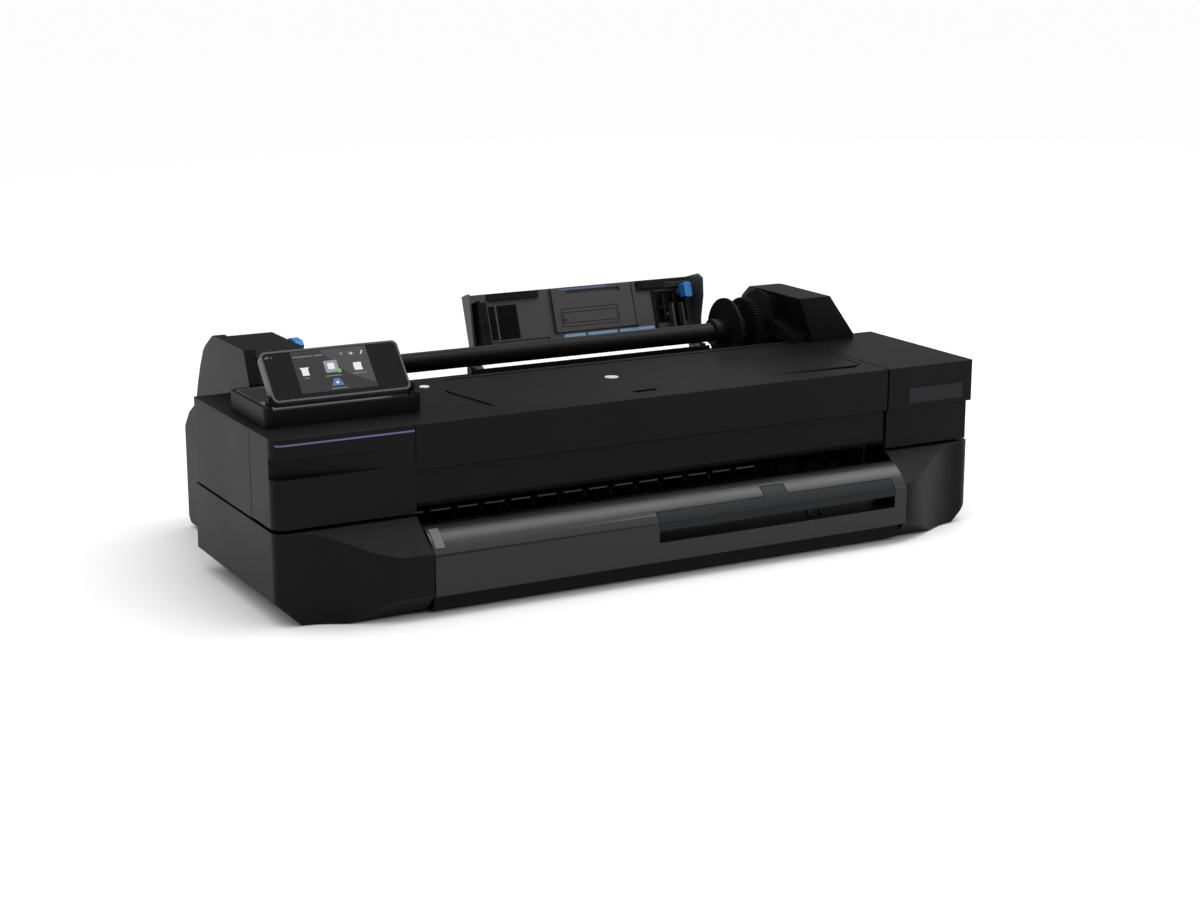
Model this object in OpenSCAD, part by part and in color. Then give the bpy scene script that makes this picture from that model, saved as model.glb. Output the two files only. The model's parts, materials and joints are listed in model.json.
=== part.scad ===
/* [Overall] */
// Width over the two end housings
body_w = 987; // [980:1:1000]
// Depth from the output tray to the rear wall
body_d = 530; // [530:1:540]
// Height of the top deck
deck_z = 222; // [221:0.5:223]
// Height of the roll supports
support_z = 285; // [283:1:288]
// Wall thickness of the moulded covers
skin = 3; // [2.5:0.1:3.2]

/* [Front] */
// How far the output tray stands in front of the upper housing
tray_reach = 50; // [48:1:52]
// Height of the seam between the lower and upper housings
split_z = 113; // [112:0.5:114]
// Height of the seam under the front panel
band_z = 166.7; // [165:0.1:168]
// Radius of the corners of the end housings
corner_r = 16; // [12:1:20]

/* [Roll] */
// Outer radius of the spindle tube
spindle_r = 13; // [11:0.5:14]
// Radius of the spindle's flange
flange_r = 46; // [40:1:48]
// Radius of the spindle gear's pitch circle
spindle_gear_r = 43.5; // [42:0.5:44]

/* [Display] */
// Width of the display housing
display_w = 174; // [160:1:176]
// Height of the display housing along its face
display_h = 69; // [60:1:72]
// Tilt of the display above the horizontal, at rest
display_tilt = 48; // [30:1:60]

/* [Rear tray] */
// Lean of the raised sheet tray behind the vertical
tray_lean = 19; // [15:1:22]
// Length of the sheet tray from its hinge
tray_len = 104; // [90:1:105]

/* [Hidden] */

half_w = body_w / 2;
front_y = tray_reach - body_d / 2;   // place of the upper front plane in the part's frame
rear_y = body_d - tray_reach;        // depths below are measured from the upper front plane
wall_y = 273;                        // rear end of the side walls
seam_left = -317.5;
seam_right = 355;
gap = 1;                             // visible joint line between covers
ease = 0.05;                         // radial clearance of a running fit
low_top = split_z - 1.5;
up_bottom = split_z + 1.5;
floor_gap = 2;                       // the housings stand this far above the floor
bevel_z = 28;
bevel_in = 27;
shelf_slope = 0.68;
spindle_y = 300;
spindle_z = 230;
spindle_teeth = 60;
tooth = 2 * spindle_gear_r / spindle_teeth;  // gear module, pitch diameter per tooth
idler_angle = -35;
hinge_y = 408;
hinge_z = 187;
roller_y = 135;
roller_z = 81;
roller_r = 9;
paper_z = roller_z + roller_r;
rod_y = 112;
rod_z = 150;

// ---------- helpers ----------
module from_front() translate([0, front_y, 0]) children();
module block(x0, x1, y0, y1, z0, z1) translate([x0, y0, z0]) cube([x1 - x0, y1 - y0, z1 - z0]);
module rod_x(x0, x1, y, z, r) translate([x0, y, z]) rotate([0, 90, 0]) cylinder(h = x1 - x0, r = r, $fn = 64);
module rod_y(y0, y1, x, z, r) translate([x, y0, z]) rotate([-90, 0, 0])
    cylinder(h = y1 - y0, r = r, $fn = 64);
module rod_z(z0, z1, x, y, r) translate([x, y, z0]) cylinder(h = z1 - z0, r = r, $fn = 64);
module sweep_x(x0, x1, yz) translate([x0, 0, 0]) rotate([90, 0, 90]) linear_extrude(x1 - x0) polygon(yz);
module sweep_z(z0, z1, xy) translate([0, 0, z0]) linear_extrude(z1 - z0) polygon(xy);
module sweep_y(y0, y1, xz) translate([0, y1, 0]) rotate([90, 0, 0]) linear_extrude(y1 - y0) polygon(xz);

function arc(cx, cy, r, a0, a1, n = 8) =
    [for (i = [0:n]) let (a = a0 + (a1 - a0) * i / n) [cx + r * cos(a), cy + r * sin(a)]];
function smooth(t) = let (u = min(max(t, 0), 1)) u * u * (3 - 2 * u);

// Straight-flanked gear along X, with a tooth centred on the angle phase
module gear_x(x0, x1, y, z, teeth, phase = 0, bore = 0) {
    pitch_r = teeth * tooth / 2;
    tip = pitch_r + 0.75 * tooth;
    root = pitch_r - 1.05 * tooth;
    step = 360 / teeth;
    translate([x0, y, z]) rotate([90, 0, 90]) difference() {
        linear_extrude(x1 - x0) polygon([for (i = [0:teeth - 1]) for (c = [[root, -0.36], [pitch_r, -0.21],
            [tip, -0.1], [tip, 0.1], [pitch_r, 0.21], [root, 0.36]])
            let (a = phase + (i + c[1]) * step) [c[0] * cos(a), c[0] * sin(a)]]);
        if (bore > 0) translate([0, 0, -1]) cylinder(h = x1 - x0 + 2, r = bore, $fn = 64);
    }
}

// ---------- lower housings ----------
bulge_x0 = 468;      // where the front of a lower housing starts to swell towards the tray
bulge_x1 = 348;
bulge_y = -tray_reach + 1;
function shoulder_y(x) = -2 + (bulge_y + 2) * smooth((bulge_x0 - x) / (bulge_x0 - bulge_x1));

// Outline of a left end, set in by i all round, ending at the seam plane
function end_outline(i, seam, rear = 281) =
    let (r = max(corner_r - 0.5 * i, 3), w = half_w - i, f = -2 + i, x1 = max(bulge_x1, 3 - seam))
    concat([[seam, shoulder_y(x1) + i]],
           [for (k = [0:14]) let (x = x1 + (bulge_x0 - x1) * k / 14)
               [-x + i * (0.2 + 0.04 * k), shoulder_y(x) + i]],
           arc(-w + r, f + r, r, -95, -180, 6),
           [[-w, rear - i], [seam, rear - i]]);
// The left end is drawn as it stands (side 1) and the right end with x turned round (side -1)
function flip(points, side) = [for (p = points) [side * p[0], p[1]]];
module end_sweep(x0, x1, yz, side) sweep_x(min(side * x0, side * x1), max(side * x0, side * x1), yz);
// Everything above the shelf that slopes down towards the tray, lowered by d
module above_shelf(seam, d, side) end_sweep(-half_w - 1, seam + 10, [[-0.5, low_top - d],
    [-90, low_top - 90 * shelf_slope - d], [-90, low_top + 9], [40, low_top + 9], [40, low_top - d]], side);

module lower_shell(seam, side) difference() {
    sweep_z(floor_gap, low_top, flip(end_outline(0, seam), side));
    above_shelf(seam, 0, side);
    // bevels along the floor at the side, the back and the front
    sweep_y(-90, 290, flip([[-half_w - 1, bevel_z], [-half_w, bevel_z], [-half_w + bevel_in, floor_gap],
        [-half_w + bevel_in, 0], [-half_w - 1, 0]], side));
    end_sweep(-half_w - 1, seam + 1, [[282, bevel_z], [281, bevel_z], [281 - bevel_in, floor_gap],
        [281 - bevel_in, 0], [282, 0]], side);
    end_sweep(-half_w - 1, seam + 1, [[bulge_y - 9, bevel_z + 9], [bulge_y + bevel_in + 9, floor_gap - 8],
        [bulge_y - 9, floor_gap - 8]], side);
    difference() {
        union() {
            sweep_z(bevel_z + 2, low_top + 1, flip(end_outline(skin, seam + 9), side));
            sweep_z(floor_gap + skin, bevel_z + 3, flip(end_outline(bevel_in + skin + 1, seam + 9), side));
        }
        above_shelf(seam, skin, side);
    }
}
module left_lower_housing() color([0.09, 0.09, 0.1]) from_front() difference() {
    lower_shell(seam_left - gap / 2, 1);
    rod_z(-1, floor_gap + 1.5, feet[0][0], feet[0][1], 15);
}
module right_lower_housing() color([0.09, 0.09, 0.1]) from_front() difference() {
    lower_shell(-seam_right - gap / 2, -1);
    rod_z(-1, floor_gap + 1.5, feet[1][0], feet[1][1], 15);
}

// Tray-shaped box with a chamfered bottom
module open_box(x0, x1, y0, y1) difference() {
    sweep_y(y0, y1, [[x0, 7], [x0 + 5, floor_gap], [x1 - 5, floor_gap], [x1, 7], [x1, 24], [x0, 24]]);
    block(x0 + skin, x1 - skin, y0 + skin, y1 - skin, floor_gap + skin, 30);
}
module base_pan() color([0.05, 0.05, 0.055]) from_front() difference() {
    union() {
        open_box(seam_left + 3.5, seam_right - 3.5, 0, 283);
        open_box(-rear_hw + 4, rear_hw - 4, 281, 464);
        // lip under the output tray
        sweep_x(seam_left + 3.5, seam_right - 3.5, [[1, 2], [-29, 3], [-37, 9], [-37, tray_low - 3],
            [-34, tray_low - 3], [-34, 10], [-28, 6], [1, 5]]);
        // ribs under the mechanism
        for (x = [-200, -70, 70, 200]) block(x - 1.5, x + 1.5, skin, 280, floor_gap + skin, 12);
        for (x = bolt_x) for (y = bolt_y) rod_z(floor_gap, 14, x, y, 9);
    }
    for (x = bolt_x) for (y = bolt_y) rod_z(0, 15, x, y, 3.2);
    for (p = feet) rod_z(-1, floor_gap + 1.5, p[0], p[1], 15);
}
bolt_x = [-280, 280];
bolt_y = [60, 420];
feet = [[-345, 4], [385, 4], [-345, 440], [345, 440]];
module rubber_feet() color([0.03, 0.03, 0.03]) from_front()
    for (p = feet) rod_z(0, floor_gap + 1.5, p[0], p[1], 15);

// ---------- output tray ----------
crease_z = 77;
tray_low = 26;
rim_y = -12;
rim_z = crease_z + (tray_reach + rim_y) * 0.68;
flap_x0 = -16;
flap_x1 = 335;
flap_top_y = -40;
slot_z = 50;
top_swell = [-2.6, 3.5];             // how far the sloped top swells out over a straight slope
function tray_profile(i) =
    let (low_arc = arc(-tray_reach + 6, crease_z - 3.6, 6 - i, 176, 138, 4),
         rim_arc = arc(rim_y - 2, rim_z - 5, 5 - i, 114, 10, 7),
         a = low_arc[4], c = rim_arc[0], b = (a + c) / 2 + top_swell)
    concat([[-tray_reach + i, tray_low], [-tray_reach + i, crease_z - 4]], low_arc,
           [for (k = [1:9]) let (t = k / 10) (1 - t) * (1 - t) * a + 2 * t * (1 - t) * b + t * t * c],
           rim_arc, [[rim_y + 3.5 - i, 89 - i]]);
module output_tray() color([0.16, 0.2, 0.185]) from_front() {
    x0 = seam_left + gap / 2;
    x1 = seam_right - gap / 2;
    difference() {
        sweep_x(x0, x1, concat(tray_profile(0),
            [[40, 89], [40, 86], [-10, 86], [-30, tray_low + skin], [-30, tray_low]]));
        sweep_x(x0 + skin, x1 - skin, concat([[-32, tray_low - 1], [-tray_reach + skin, tray_low - 1]],
            [for (p = tray_profile(skin)) if (p[1] > tray_low + 1) p], [[rim_y - 1, 40]]));
        block(x0 - 1, x1 + 1, rim_y + 4, 50, 60, 86);
        // window for the extension and its finger slot
        block(flap_x0 - gap, flap_x1 + gap, -tray_reach - 1, flap_top_y + gap, slot_z, crease_z + 13);
        block(tab_x - gap, tab_x + tab_w + gap, -tray_reach - 1, -26, crease_z - 12, 99);
        // passage for the extension's plate
        block(flap_x0 + 6, flap_x1 - 6, -45, 50, 64.8, 72);
    }
    // pocket behind the finger slot
    difference() {
        block(flap_x0 - 4, flap_x1 + 4, -tray_reach + skin, -22, slot_z - skin, 65);
        block(flap_x0 - gap, flap_x1 + gap, -tray_reach, -25, slot_z, 66);
    }
}
tab_x = 142;
tab_w = 34;
module tray_extension() color([0.13, 0.155, 0.17]) from_front() {
    difference() {
        intersection() {
            sweep_x(flap_x0, flap_x1, concat([[-tray_reach, 65.5]],
                [for (p = tray_profile(0)) if (p[1] > 60) p],
                [[-8, 65.5]]));
            union() {
                block(flap_x0, flap_x1, -tray_reach, flap_top_y, 65.5, 99);
                block(tab_x, tab_x + tab_w, -tray_reach, -27, 65.5, 99);
            }
        }
        // hollow behind the lip, under the tab
        block(tab_x + 6, tab_x + tab_w - 6, -tray_reach + 8, -30, 60, 78);
    }
    block(flap_x0 + 8, flap_x1 - 8, -44, 44, 66, 70);
}

// ---------- upper covers ----------
module left_side_cover() color([0.1, 0.1, 0.11]) from_front() {
    seam_y = door_seam_y + gap;
    difference() {
        block(-half_w, -rear_hw - 1, seam_y, wall_y, up_bottom, deck_z - skin);
        block(-half_w + skin, -rear_hw + 1, seam_y - 1, wall_y - skin, up_bottom - 1, deck_z);
    }
    block(-half_w + skin, cart_x0 - 5, seam_y, seam_y + 2.5, up_bottom + 2, deck_z - 5);
}
door_seam_y = 75;
function door_outline(i) = concat([[seam_left - gap / 2, i]],
    arc(-half_w + corner_r, corner_r, corner_r - i, -90, -180, 8), [[-half_w + i, door_seam_y]]);
function reversed(list) = [for (i = [len(list) - 1:-1:0]) list[i]];
grip_z0 = 174;
grip_z1 = 199;
door_axis_y = 7;
door_knuckles = [-470, -352];
door_axis_z = up_bottom + 5.5;
module ink_door() color([0.07, 0.07, 0.08]) from_front() {
    difference() {
        union() {
            sweep_z(up_bottom + 1.5, deck_z, concat(door_outline(0), reversed(door_outline(skin))));
            // block that the handle recess is cut into
            sweep_z(grip_z0 - 3, grip_z1 + 3, concat(door_outline(1), [[-half_w + 1, 30], [-half_w + 26, 17],
                [seam_left - 20, 3]]));
        }
        // handle recess, deep at the corner and running out to nothing
        sweep_z(grip_z0, grip_z1, [[-half_w - 1, -1], [-340, -1], [-352, 0.05], [-400, 7.5],
            [-half_w + 24, 13.5], [-half_w + 8, 15], [-half_w - 1, 15]]);
    }
    // hinge barrels with their pins
    for (x = door_knuckles) {
        rod_x(x, x + 14, door_axis_y, door_axis_z, 3.6);
        rod_x(x - 4, x + 18, door_axis_y, door_axis_z, 2);
        block(x, x + 14, 2, door_axis_y, door_axis_z - 3, door_axis_z + 3);
    }
}
module ink_door_stripe() color([0.3, 0.33, 0.5]) from_front()
    sweep_z(deck_z - 8.2, deck_z - 6, concat(door_stripe_outline(0), reversed(door_stripe_outline(0.3))));
function door_stripe_outline(i) = concat([[seam_left - gap / 2 - 0.5, -i]],
    arc(-half_w + corner_r, corner_r, corner_r + i, -90, -135, 4));

module front_panel() color([0.06, 0.06, 0.065]) from_front() {
    x0 = seam_left + gap / 2;
    x1 = cover_x1;
    sweep_x(x0, x1, [[0, deck_z], [0, band_z + 1], [1, band_z], [7, band_z - 1], [7, 126], [9, 121],
        [13, 119], [13, 122], [11, 124], [10, 128],
        [10, band_z + 2], [3, band_z + 3], [3, deck_z - 3.5], [5, deck_z - 3.5],
        [5, deck_z]]);
    for (x = [x0, x1 - skin]) sweep_x(x, x + skin, [[0.5, deck_z - 3.5], [0.5, band_z + 1], [7.5, band_z - 1],
        [7.5, 126], [12, 121], [30, 121], [30, deck_z - 3.5]]);
}
cover_x1 = seam_right + 0.4;          // right end of the front panel and of the top deck
window_x0 = -180;
window_x1 = 345;
window_y0 = 46;
window_y1 = 215;
bay_x0 = -478;
bay_x1 = -281;
bay_y0 = 60;
bay_y1 = 186;
bay_top = 246;
button_x = -221;
button_y = 189;
deck_rear = 228;
pin_z = deck_z - 7;
pin_y = window_y1 - 3.2;
module top_deck() color([0.085, 0.085, 0.09]) from_front() {
    lift = 3;
    difference() {
        union() {
            // plate over the left end, the middle and up to the right cap
            sweep_z(deck_z - lift, deck_z, concat(
                [[cover_x1, 5.4], [seam_left, 5.4], [seam_left, 3.4]],
                arc(-half_w + corner_r, corner_r + 0.4, corner_r - 3.5, -90, -180, 6),
                [[-half_w + 3.4, door_seam_y + gap], [-half_w, door_seam_y + gap], [-half_w, wall_y],
                 [left_x1 + 1, wall_y], [left_x1 + 4, deck_rear], [cover_x1, deck_rear]]));
            // hanging rim behind
            block(-278, cover_x1, deck_rear - skin, deck_rear, 176, deck_z - 1);
        }
        block(window_x0 - gap, window_x1 + gap, window_y0 - gap, window_y1 + 2.5, deck_z - 9, deck_z + 1);
        block(bay_x0 + 14, bay_x1 - 14, bay_y0 + 14, bay_y1 - 14, deck_z - 9, deck_z + 1);
        rod_z(deck_z - 9, deck_z + 1, button_x, button_y, 6.6);
        // finger notch and grip wedge at the window's front edge
        block(-5, 28, window_y0 - 13, window_y0, deck_z - 9, deck_z + 1);
        sweep_z(deck_z - 9, deck_z + 1, [[165, window_y0 - 0.9], [340, window_y0 - 0.9],
            [338, window_y0 - 6], [322, window_y0 - 16]]);
        // dark wedge to the left of the window
        sweep_z(deck_z - 2.4, deck_z + 1, [[-206, 160], [-189, 48], [-212, 66], [-229, 92]]);
    }
    // ears that hold the window's pins, kept under the sweep of its rear edge
    for (x = [window_x0 + 6, window_x1 - 12]) difference() {
        union() {
            rod_x(x, x + 6, pin_y, pin_z, 3.1);
            block(x, x + 6, pin_y - 2.5, pin_y + 2.5, pin_z - 9, pin_z);
            block(x, x + 6, pin_y - 2.5, window_y1 + 7, pin_z - 9, pin_z - 5.5);
            block(x, x + 6, window_y1 + 4.2, window_y1 + 7, pin_z - 9, deck_z - 1);
        }
        rod_x(x - 1, x + 7, pin_y, pin_z, 1.5 + ease);
    }
}
module window_panel() color([0.075, 0.075, 0.08]) from_front() {
    block(window_x0, window_x1, window_y0, window_y1, deck_z - 3.6, deck_z - 0.8);
    // stiffening ribs
    for (x = [-120, 0, 120, 240])
        block(x, x + 2, window_y0 + 8, window_y1 - 14, deck_z - 8, deck_z - 3);
    for (x = [window_x0 + 13, window_x1 - 19]) {
        block(x, x + 6, pin_y - 2.6, pin_y + 2.6, pin_z, deck_z - 3);
        rod_x(x - 8, x + 14, pin_y, pin_z, 1.5);
        rod_x(x, x + 6, pin_y, pin_z, 2.6);
    }
}
module emblem_disc() color([0.75, 0.76, 0.78]) from_front() rod_z(deck_z - 0.8, deck_z - 0.2, 16, 132, 9);

module right_end_cap() color([0.08, 0.08, 0.085]) from_front() {
    x0 = seam_right + 1.8 + gap;
    difference() {
        block(x0, half_w, 0, deck_rear + 6, band_z, deck_z);
        block(x0 + skin, half_w - skin, skin, deck_rear + 6 - skin, band_z - 1, deck_z - skin);
        block(x0 - 1, x0 + skin + 1, 16, deck_rear - 16, band_z - 1, deck_z - 14);
    }
}
module right_lower_cover() color([0.07, 0.07, 0.075]) from_front() {
    x0 = seam_right + 1.8 + gap;
    inset = 5;
    difference() {
        block(x0, half_w - inset, 4, deck_rear + 34, up_bottom, band_z - gap);
        block(x0 + skin, half_w - inset - skin, 4 + skin, deck_rear + 34 - skin, up_bottom - 1, band_z + 1);
        block(x0 - 1, x0 + skin + 1, 16, deck_rear + 24, up_bottom - 1, band_z + 1);
    }
}
module label_plate() color([0.5, 0.51, 0.53]) from_front() block(390, 477, -0.8, 0, 173, 193);

// ---------- display ----------
pivot = [0, 72, 249];
module tilted() translate(pivot) rotate([display_tilt - 90, 0, 0]) children();
display_x0 = bay_x0 + 15;
display_t = 12;
pin_h = 7;
module rounded_plate(x0, x1, z0, z1, y0, y1, r)
    translate([0, y1, 0]) rotate([90, 0, 0]) linear_extrude(y1 - y0) polygon(concat(
        arc(x1 - r, z1 - r, r, 0, 90, 6), arc(x0 + r, z1 - r, r, 90, 180, 6),
        arc(x0 + r, z0 + r, r, 180, 270, 6), arc(x1 - r, z0 + r, r, 270, 360, 6)));
module display_housing() color([0.3, 0.31, 0.33]) from_front() tilted() {
    x1 = display_x0 + display_w;
    difference() {
        rounded_plate(display_x0, x1, 0, display_h, 0, display_t, 7);
        rounded_plate(display_x0 + 2.5, x1 - 2.5, 2.5, display_h - 2.5, -1, 2.2, 5.5);
    }
    rod_x(display_x0 - 5, x1 + 5, 6, pin_h, 2.5);
}
module display_glass() color([0.01, 0.01, 0.012]) from_front() tilted()
    rounded_plate(display_x0 + 2.7, display_x0 + display_w - 2.7, 2.7, display_h - 2.7, 0.2, 2.2, 5.3);

axis_y = pivot[1] + 6 * sin(display_tilt) + pin_h * cos(display_tilt);
axis_z = pivot[2] - 6 * cos(display_tilt) + pin_h * sin(display_tilt);
module display_bay() color([0.05, 0.05, 0.055]) from_front() {
    difference() {
        rounded_box(bay_x0, bay_x1, bay_y0, bay_y1, deck_z, bay_top, 9);
        rounded_box(bay_x0 + 6, bay_x1 - 6, bay_y0 + 6, bay_y1 - 6, deck_z + 4, bay_top + 1, 6);
        block(bay_x0 + 14, bay_x1 - 14, bay_y0 + 14, bay_y1 - 14, deck_z - 1, bay_top);
        rod_x(display_x0 - 6, display_x0 + display_w + 6, axis_y, axis_z, 2.5 + ease);
        // front wall stands lower, under the display
        block(bay_x0 + 9, bay_x1 - 9, bay_y0 - 1, bay_y0 + 14, bay_top - 3.5, bay_top + 1);
    }
    // ears for the display's pivot
    for (x = [display_x0 - 5.4, display_x0 + display_w + 0.4]) difference() {
        block(x, x + 5, axis_y - 6, axis_y + 6, deck_z + 4, axis_z + 5);
        rod_x(x - 1, x + 6, axis_y, axis_z, 2.5 + ease);
    }
}
module rounded_box(x0, x1, y0, y1, z0, z1, r) sweep_z(z0, z1, concat(
    arc(x1 - r, y1 - r, r, 0, 90, 6), arc(x0 + r, y1 - r, r, 90, 180, 6),
    arc(x0 + r, y0 + r, r, 180, 270, 6), arc(x1 - r, y0 + r, r, 270, 360, 6)));
module bay_liner() color([0.62, 0.63, 0.65]) from_front() difference() {
    rounded_box(bay_x0 + 6, bay_x1 - 6, bay_y0 + 6, bay_y1 - 6, deck_z + 4, bay_top - 0.6, 6);
    rounded_box(bay_x0 + 7.4, bay_x1 - 7.4, bay_y0 + 7.4, bay_y1 - 7.4, deck_z + 6, deck_z + 30, 5);
    block(bay_x0, bay_x1, bay_y0, bay_y0 + 14, bay_top - 4.2, bay_top);
    for (x = [display_x0 - 6, display_x0 + display_w - 0.4])
        block(x, x + 6.4, axis_y - 7, axis_y + 7, deck_z, deck_z + 30);
}
module power_button() color([0.9, 0.9, 0.9]) from_front() {
    rod_z(deck_z - 4.6, deck_z + 0.8, button_x, button_y, 6.2);
    rod_z(deck_z - 4.6, deck_z - 3.1, button_x, button_y, 8);
}

// ---------- rear ----------
trough_r = 58;
rear_hw = 440;
function rear_profile(i) = concat([[236, 214]],
    arc(spindle_y, spindle_z, trough_r + i, 200, 360 - asin((spindle_z - hinge_z + 9) / trough_r), 14),
    [[345, hinge_z - 9 - i], [430, hinge_z - 9 - i], [rear_y - 20, 160 - i], [rear_y - i, 138 - i],
     [rear_y - i, 14 + i],
     [rear_y - 8 - i, 6 + i]]);
module rear_housing() color([0.075, 0.075, 0.08]) from_front() {
    difference() {
        sweep_x(-rear_hw, rear_hw, concat(rear_profile(0), [[283, 6], [283, 150], [236, 196]]));
        sweep_x(-rear_hw + skin, rear_hw - skin, concat([[230, 200]],
            [for (p = rear_profile(skin)) if (p[1] < 205) p],
            [[rear_y - 14, 0], [200, 0], [200, 150]]));
        // openings for the connectors, the inlet, cooling air, a rating plate and the screws
        block(-420, -318, rear_y - 9, rear_y + 1, 40, 92);
        block(-290, -260, rear_y - 9, rear_y + 1, 44, 68);
        for (i = [0:13]) block(60 + i * 12, 65 + i * 12, rear_y - 9, rear_y + 1, 44, 84);
        block(-160, -60, rear_y - 0.8, rear_y + 1, 40, 88);
        for (x = screw_x) {
            rod_y(rear_y - 9, rear_y + 1, x, 120, 2);
            rod_y(rear_y - 2.3, rear_y + 1, x, 120, 4);
        }
    }
    // low wall along the foot of the sheet tray
    block(tray_x0 - 11, tray_x1 + 12, 396, 399, hinge_z - 10, hinge_z + 3);
    // ears for the sheet tray's pins
    for (x = [tray_x0 - 9, tray_x1 + 2.4]) difference() {
        block(x, x + 6.6, hinge_y - 6, hinge_y + 6, hinge_z - 10, hinge_z + 5);
        rod_x(x - 1, x + 8, hinge_y, hinge_z, 2.5 + ease);
    }
}
screw_x = [-430, -225, 0, 225, 430];
module case_screws() color([0.6, 0.6, 0.62]) from_front() for (x = screw_x) {
    rod_y(rear_y - 12, rear_y - 0.4, x, 120, 1.9);
    difference() {
        rod_y(rear_y - 2.2, rear_y - 0.2, x, 120, 3.8);
        rod_y(rear_y - 1, rear_y + 1, x, 120, 1.4);
    }
}
module connector_panel() color([0.55, 0.56, 0.57]) from_front() difference() {
    block(-424, -314, rear_y - 5.5, rear_y - skin - 0.1, 36, 96);
    block(-410, -398, rear_y - 9, rear_y, 50, 62);
    block(-386, -366, rear_y - 9, rear_y, 50, 66);
    block(-350, -334, rear_y - 9, rear_y, 50, 64);
    rod_y(rear_y - 9, rear_y, -404, 78, 4);
    rod_y(rear_y - 9, rear_y, -342, 80, 2.5);
}
module mains_inlet() color([0.04, 0.04, 0.045]) from_front() {
    difference() {
        block(-289.5, -260.5, rear_y - 26, rear_y - 0.5, 44.5, 67.5);
        block(-286, -264, rear_y - 20, rear_y + 1, 48, 64);
    }
    for (x = [-281, -275, -269]) block(x - 1, x + 1, rear_y - 21, rear_y - 9, 54, 59);
}

// ---------- roll supports and spindle ----------
left_x0 = -447;
left_x1 = -366;
right_x0 = 346;
right_step = 372;
right_x1 = 441;
foot_z = hinge_z - 9;                // top of the rear housing, where the supports stand
support_rear = [[332, support_z - 1], [344, support_z - 8], [361, support_z - 18], [370, support_z - 26],
    [384, support_z - 48], [395, support_z - 70], [406, support_z - 97], [406, foot_z]];
support_rear_inside = [[330, support_z - 5], [364, support_z - 26], [380, 228], [400, foot_z - 1]];
journal_r = 8;
lever_y = 262;
lever_z = 262;
module left_support() color([0.1, 0.1, 0.11]) from_front() {
    plate_x1 = left_x0 + 15;
    groove = 3.5;
    low = support_z - 4;
    front = [[276, foot_z], [276, deck_z + 0.5], [200, deck_z + 0.5], [200, 245]];
    difference() {
        union() {
            sweep_x(left_x0, plate_x1, concat(front, [[217, support_z], [328, support_z]], support_rear));
            sweep_x(plate_x1 - 1, left_x1, concat(front, [[216, low - 12], [232, low], [336, low]],
                [for (p = support_rear) if (p[1] < support_z - 7) p]));
        }
        sweep_x(plate_x1, plate_x1 + groove,
            [[190, low - 12], [300, low - 12], [330, low + 9], [190, low + 9]]);
        // hollow, open towards the rear housing
        sweep_x(left_x0 + skin, left_x1 - skin, concat(
            [[279, foot_z - 1], [279, deck_z + 4], [206, deck_z + 4],
            [206, 240], [220, low - 16]], [[340, low - 16], [362, 252], [380, 228], [398, foot_z - 1]]));
        rod_x(left_x1 - skin - 1, left_x1 + 1, spindle_y, spindle_z, journal_r + ease);
        rod_x(left_x1 - skin - 1, left_x1 + 1, lever_y, lever_z, 2.5 + ease);
    }
}
module latch_lever() color([0.36, 0.52, 0.75]) from_front() {
    x0 = left_x1 + 0.5;
    sweep_x(x0, x0 + 11, concat(arc(lever_y, lever_z, 5, 150, 390, 10), [[lever_y + 12, lever_z + 10],
        [lever_y + 19, lever_z + 13], [lever_y + 21, lever_z + 18], [lever_y + 14, lever_z + 21],
        [lever_y - 4, lever_z + 20], [lever_y - 9, lever_z + 15]]));
    rod_x(left_x1 - skin - 1, x0 + 1, lever_y, lever_z, 2.5);
}
ramp_front = [[276, foot_z], [276, deck_z + 0.5], [212, deck_z + 0.5], [212, 231], [262, 246]];
dome_r = 53;
module right_support() color([0.075, 0.075, 0.08]) from_front() {
    face = [[right_step, foot_z], [right_step, 229], [350, support_z], [400, support_z], [right_x1, 229],
            [right_x1, foot_z]];
    inner = [[right_step + skin, foot_z - 1], [right_step + skin, 230], [355, support_z - skin],
             [398.6, support_z - skin], [right_x1 - skin, 228], [right_x1 - skin, foot_z - 1]];
    side = concat([[276, foot_z], [276, deck_z + 0.5], [202, deck_z + 0.5], [202, support_z],
        [316, support_z]], support_rear);
    difference() {
        union() {
            intersection() {
                sweep_y(200, 410, face);
                sweep_x(right_x0, right_x1, side);
            }
            // ramp that leads the spindle in, and the round housing over its end
            sweep_x(right_x0, right_step + 1, concat(ramp_front,
                arc(spindle_y, spindle_z, dome_r, 118, 12, 14),
                [[386, 214], [402, foot_z]]));
            // boss and bearing eye beside the ramp
            block(350, 360, 264, 322, 256, 279);
        }
        intersection() {
            sweep_y(200, 410, inner);
            sweep_x(right_x0, right_x1, concat([[279, foot_z - 1], [279, deck_z + 4], [205, deck_z + 4],
                [205, support_z - 3]], support_rear_inside));
        }
        sweep_x(right_x0 + skin, right_step + skin + 0.5, concat([[279, foot_z - 1], [279, deck_z + 4],
            [216, deck_z + 4], [216, 227], [262, 242]], arc(spindle_y, spindle_z, dome_r - skin, 118, 12, 14),
            [[383.5, 213], [398, foot_z - 1]]));
        rod_x(right_x0 - 1, right_x0 + 4, spindle_y, spindle_z, journal_r + ease);
        rod_x(right_x0 - 1, right_x0 + 4, pinion_y, pinion_z, 3 + ease);
        rod_x(349, 353, 275, 268, 4);
    }
    rod_x(gear_x0 - 2, right_x0 + 1, idler_y, idler_z, 3);
}
gear_x0 = 318;
gear_x1 = 328;
idler_teeth = spindle_teeth / 3;
pinion_teeth = spindle_teeth / 6;
idler_d = (spindle_teeth + idler_teeth) * tooth / 2;
pinion_d = (idler_teeth + pinion_teeth) * tooth / 2;
idler_y = spindle_y + idler_d * cos(idler_angle);
idler_z = spindle_z + idler_d * sin(idler_angle);
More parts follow.
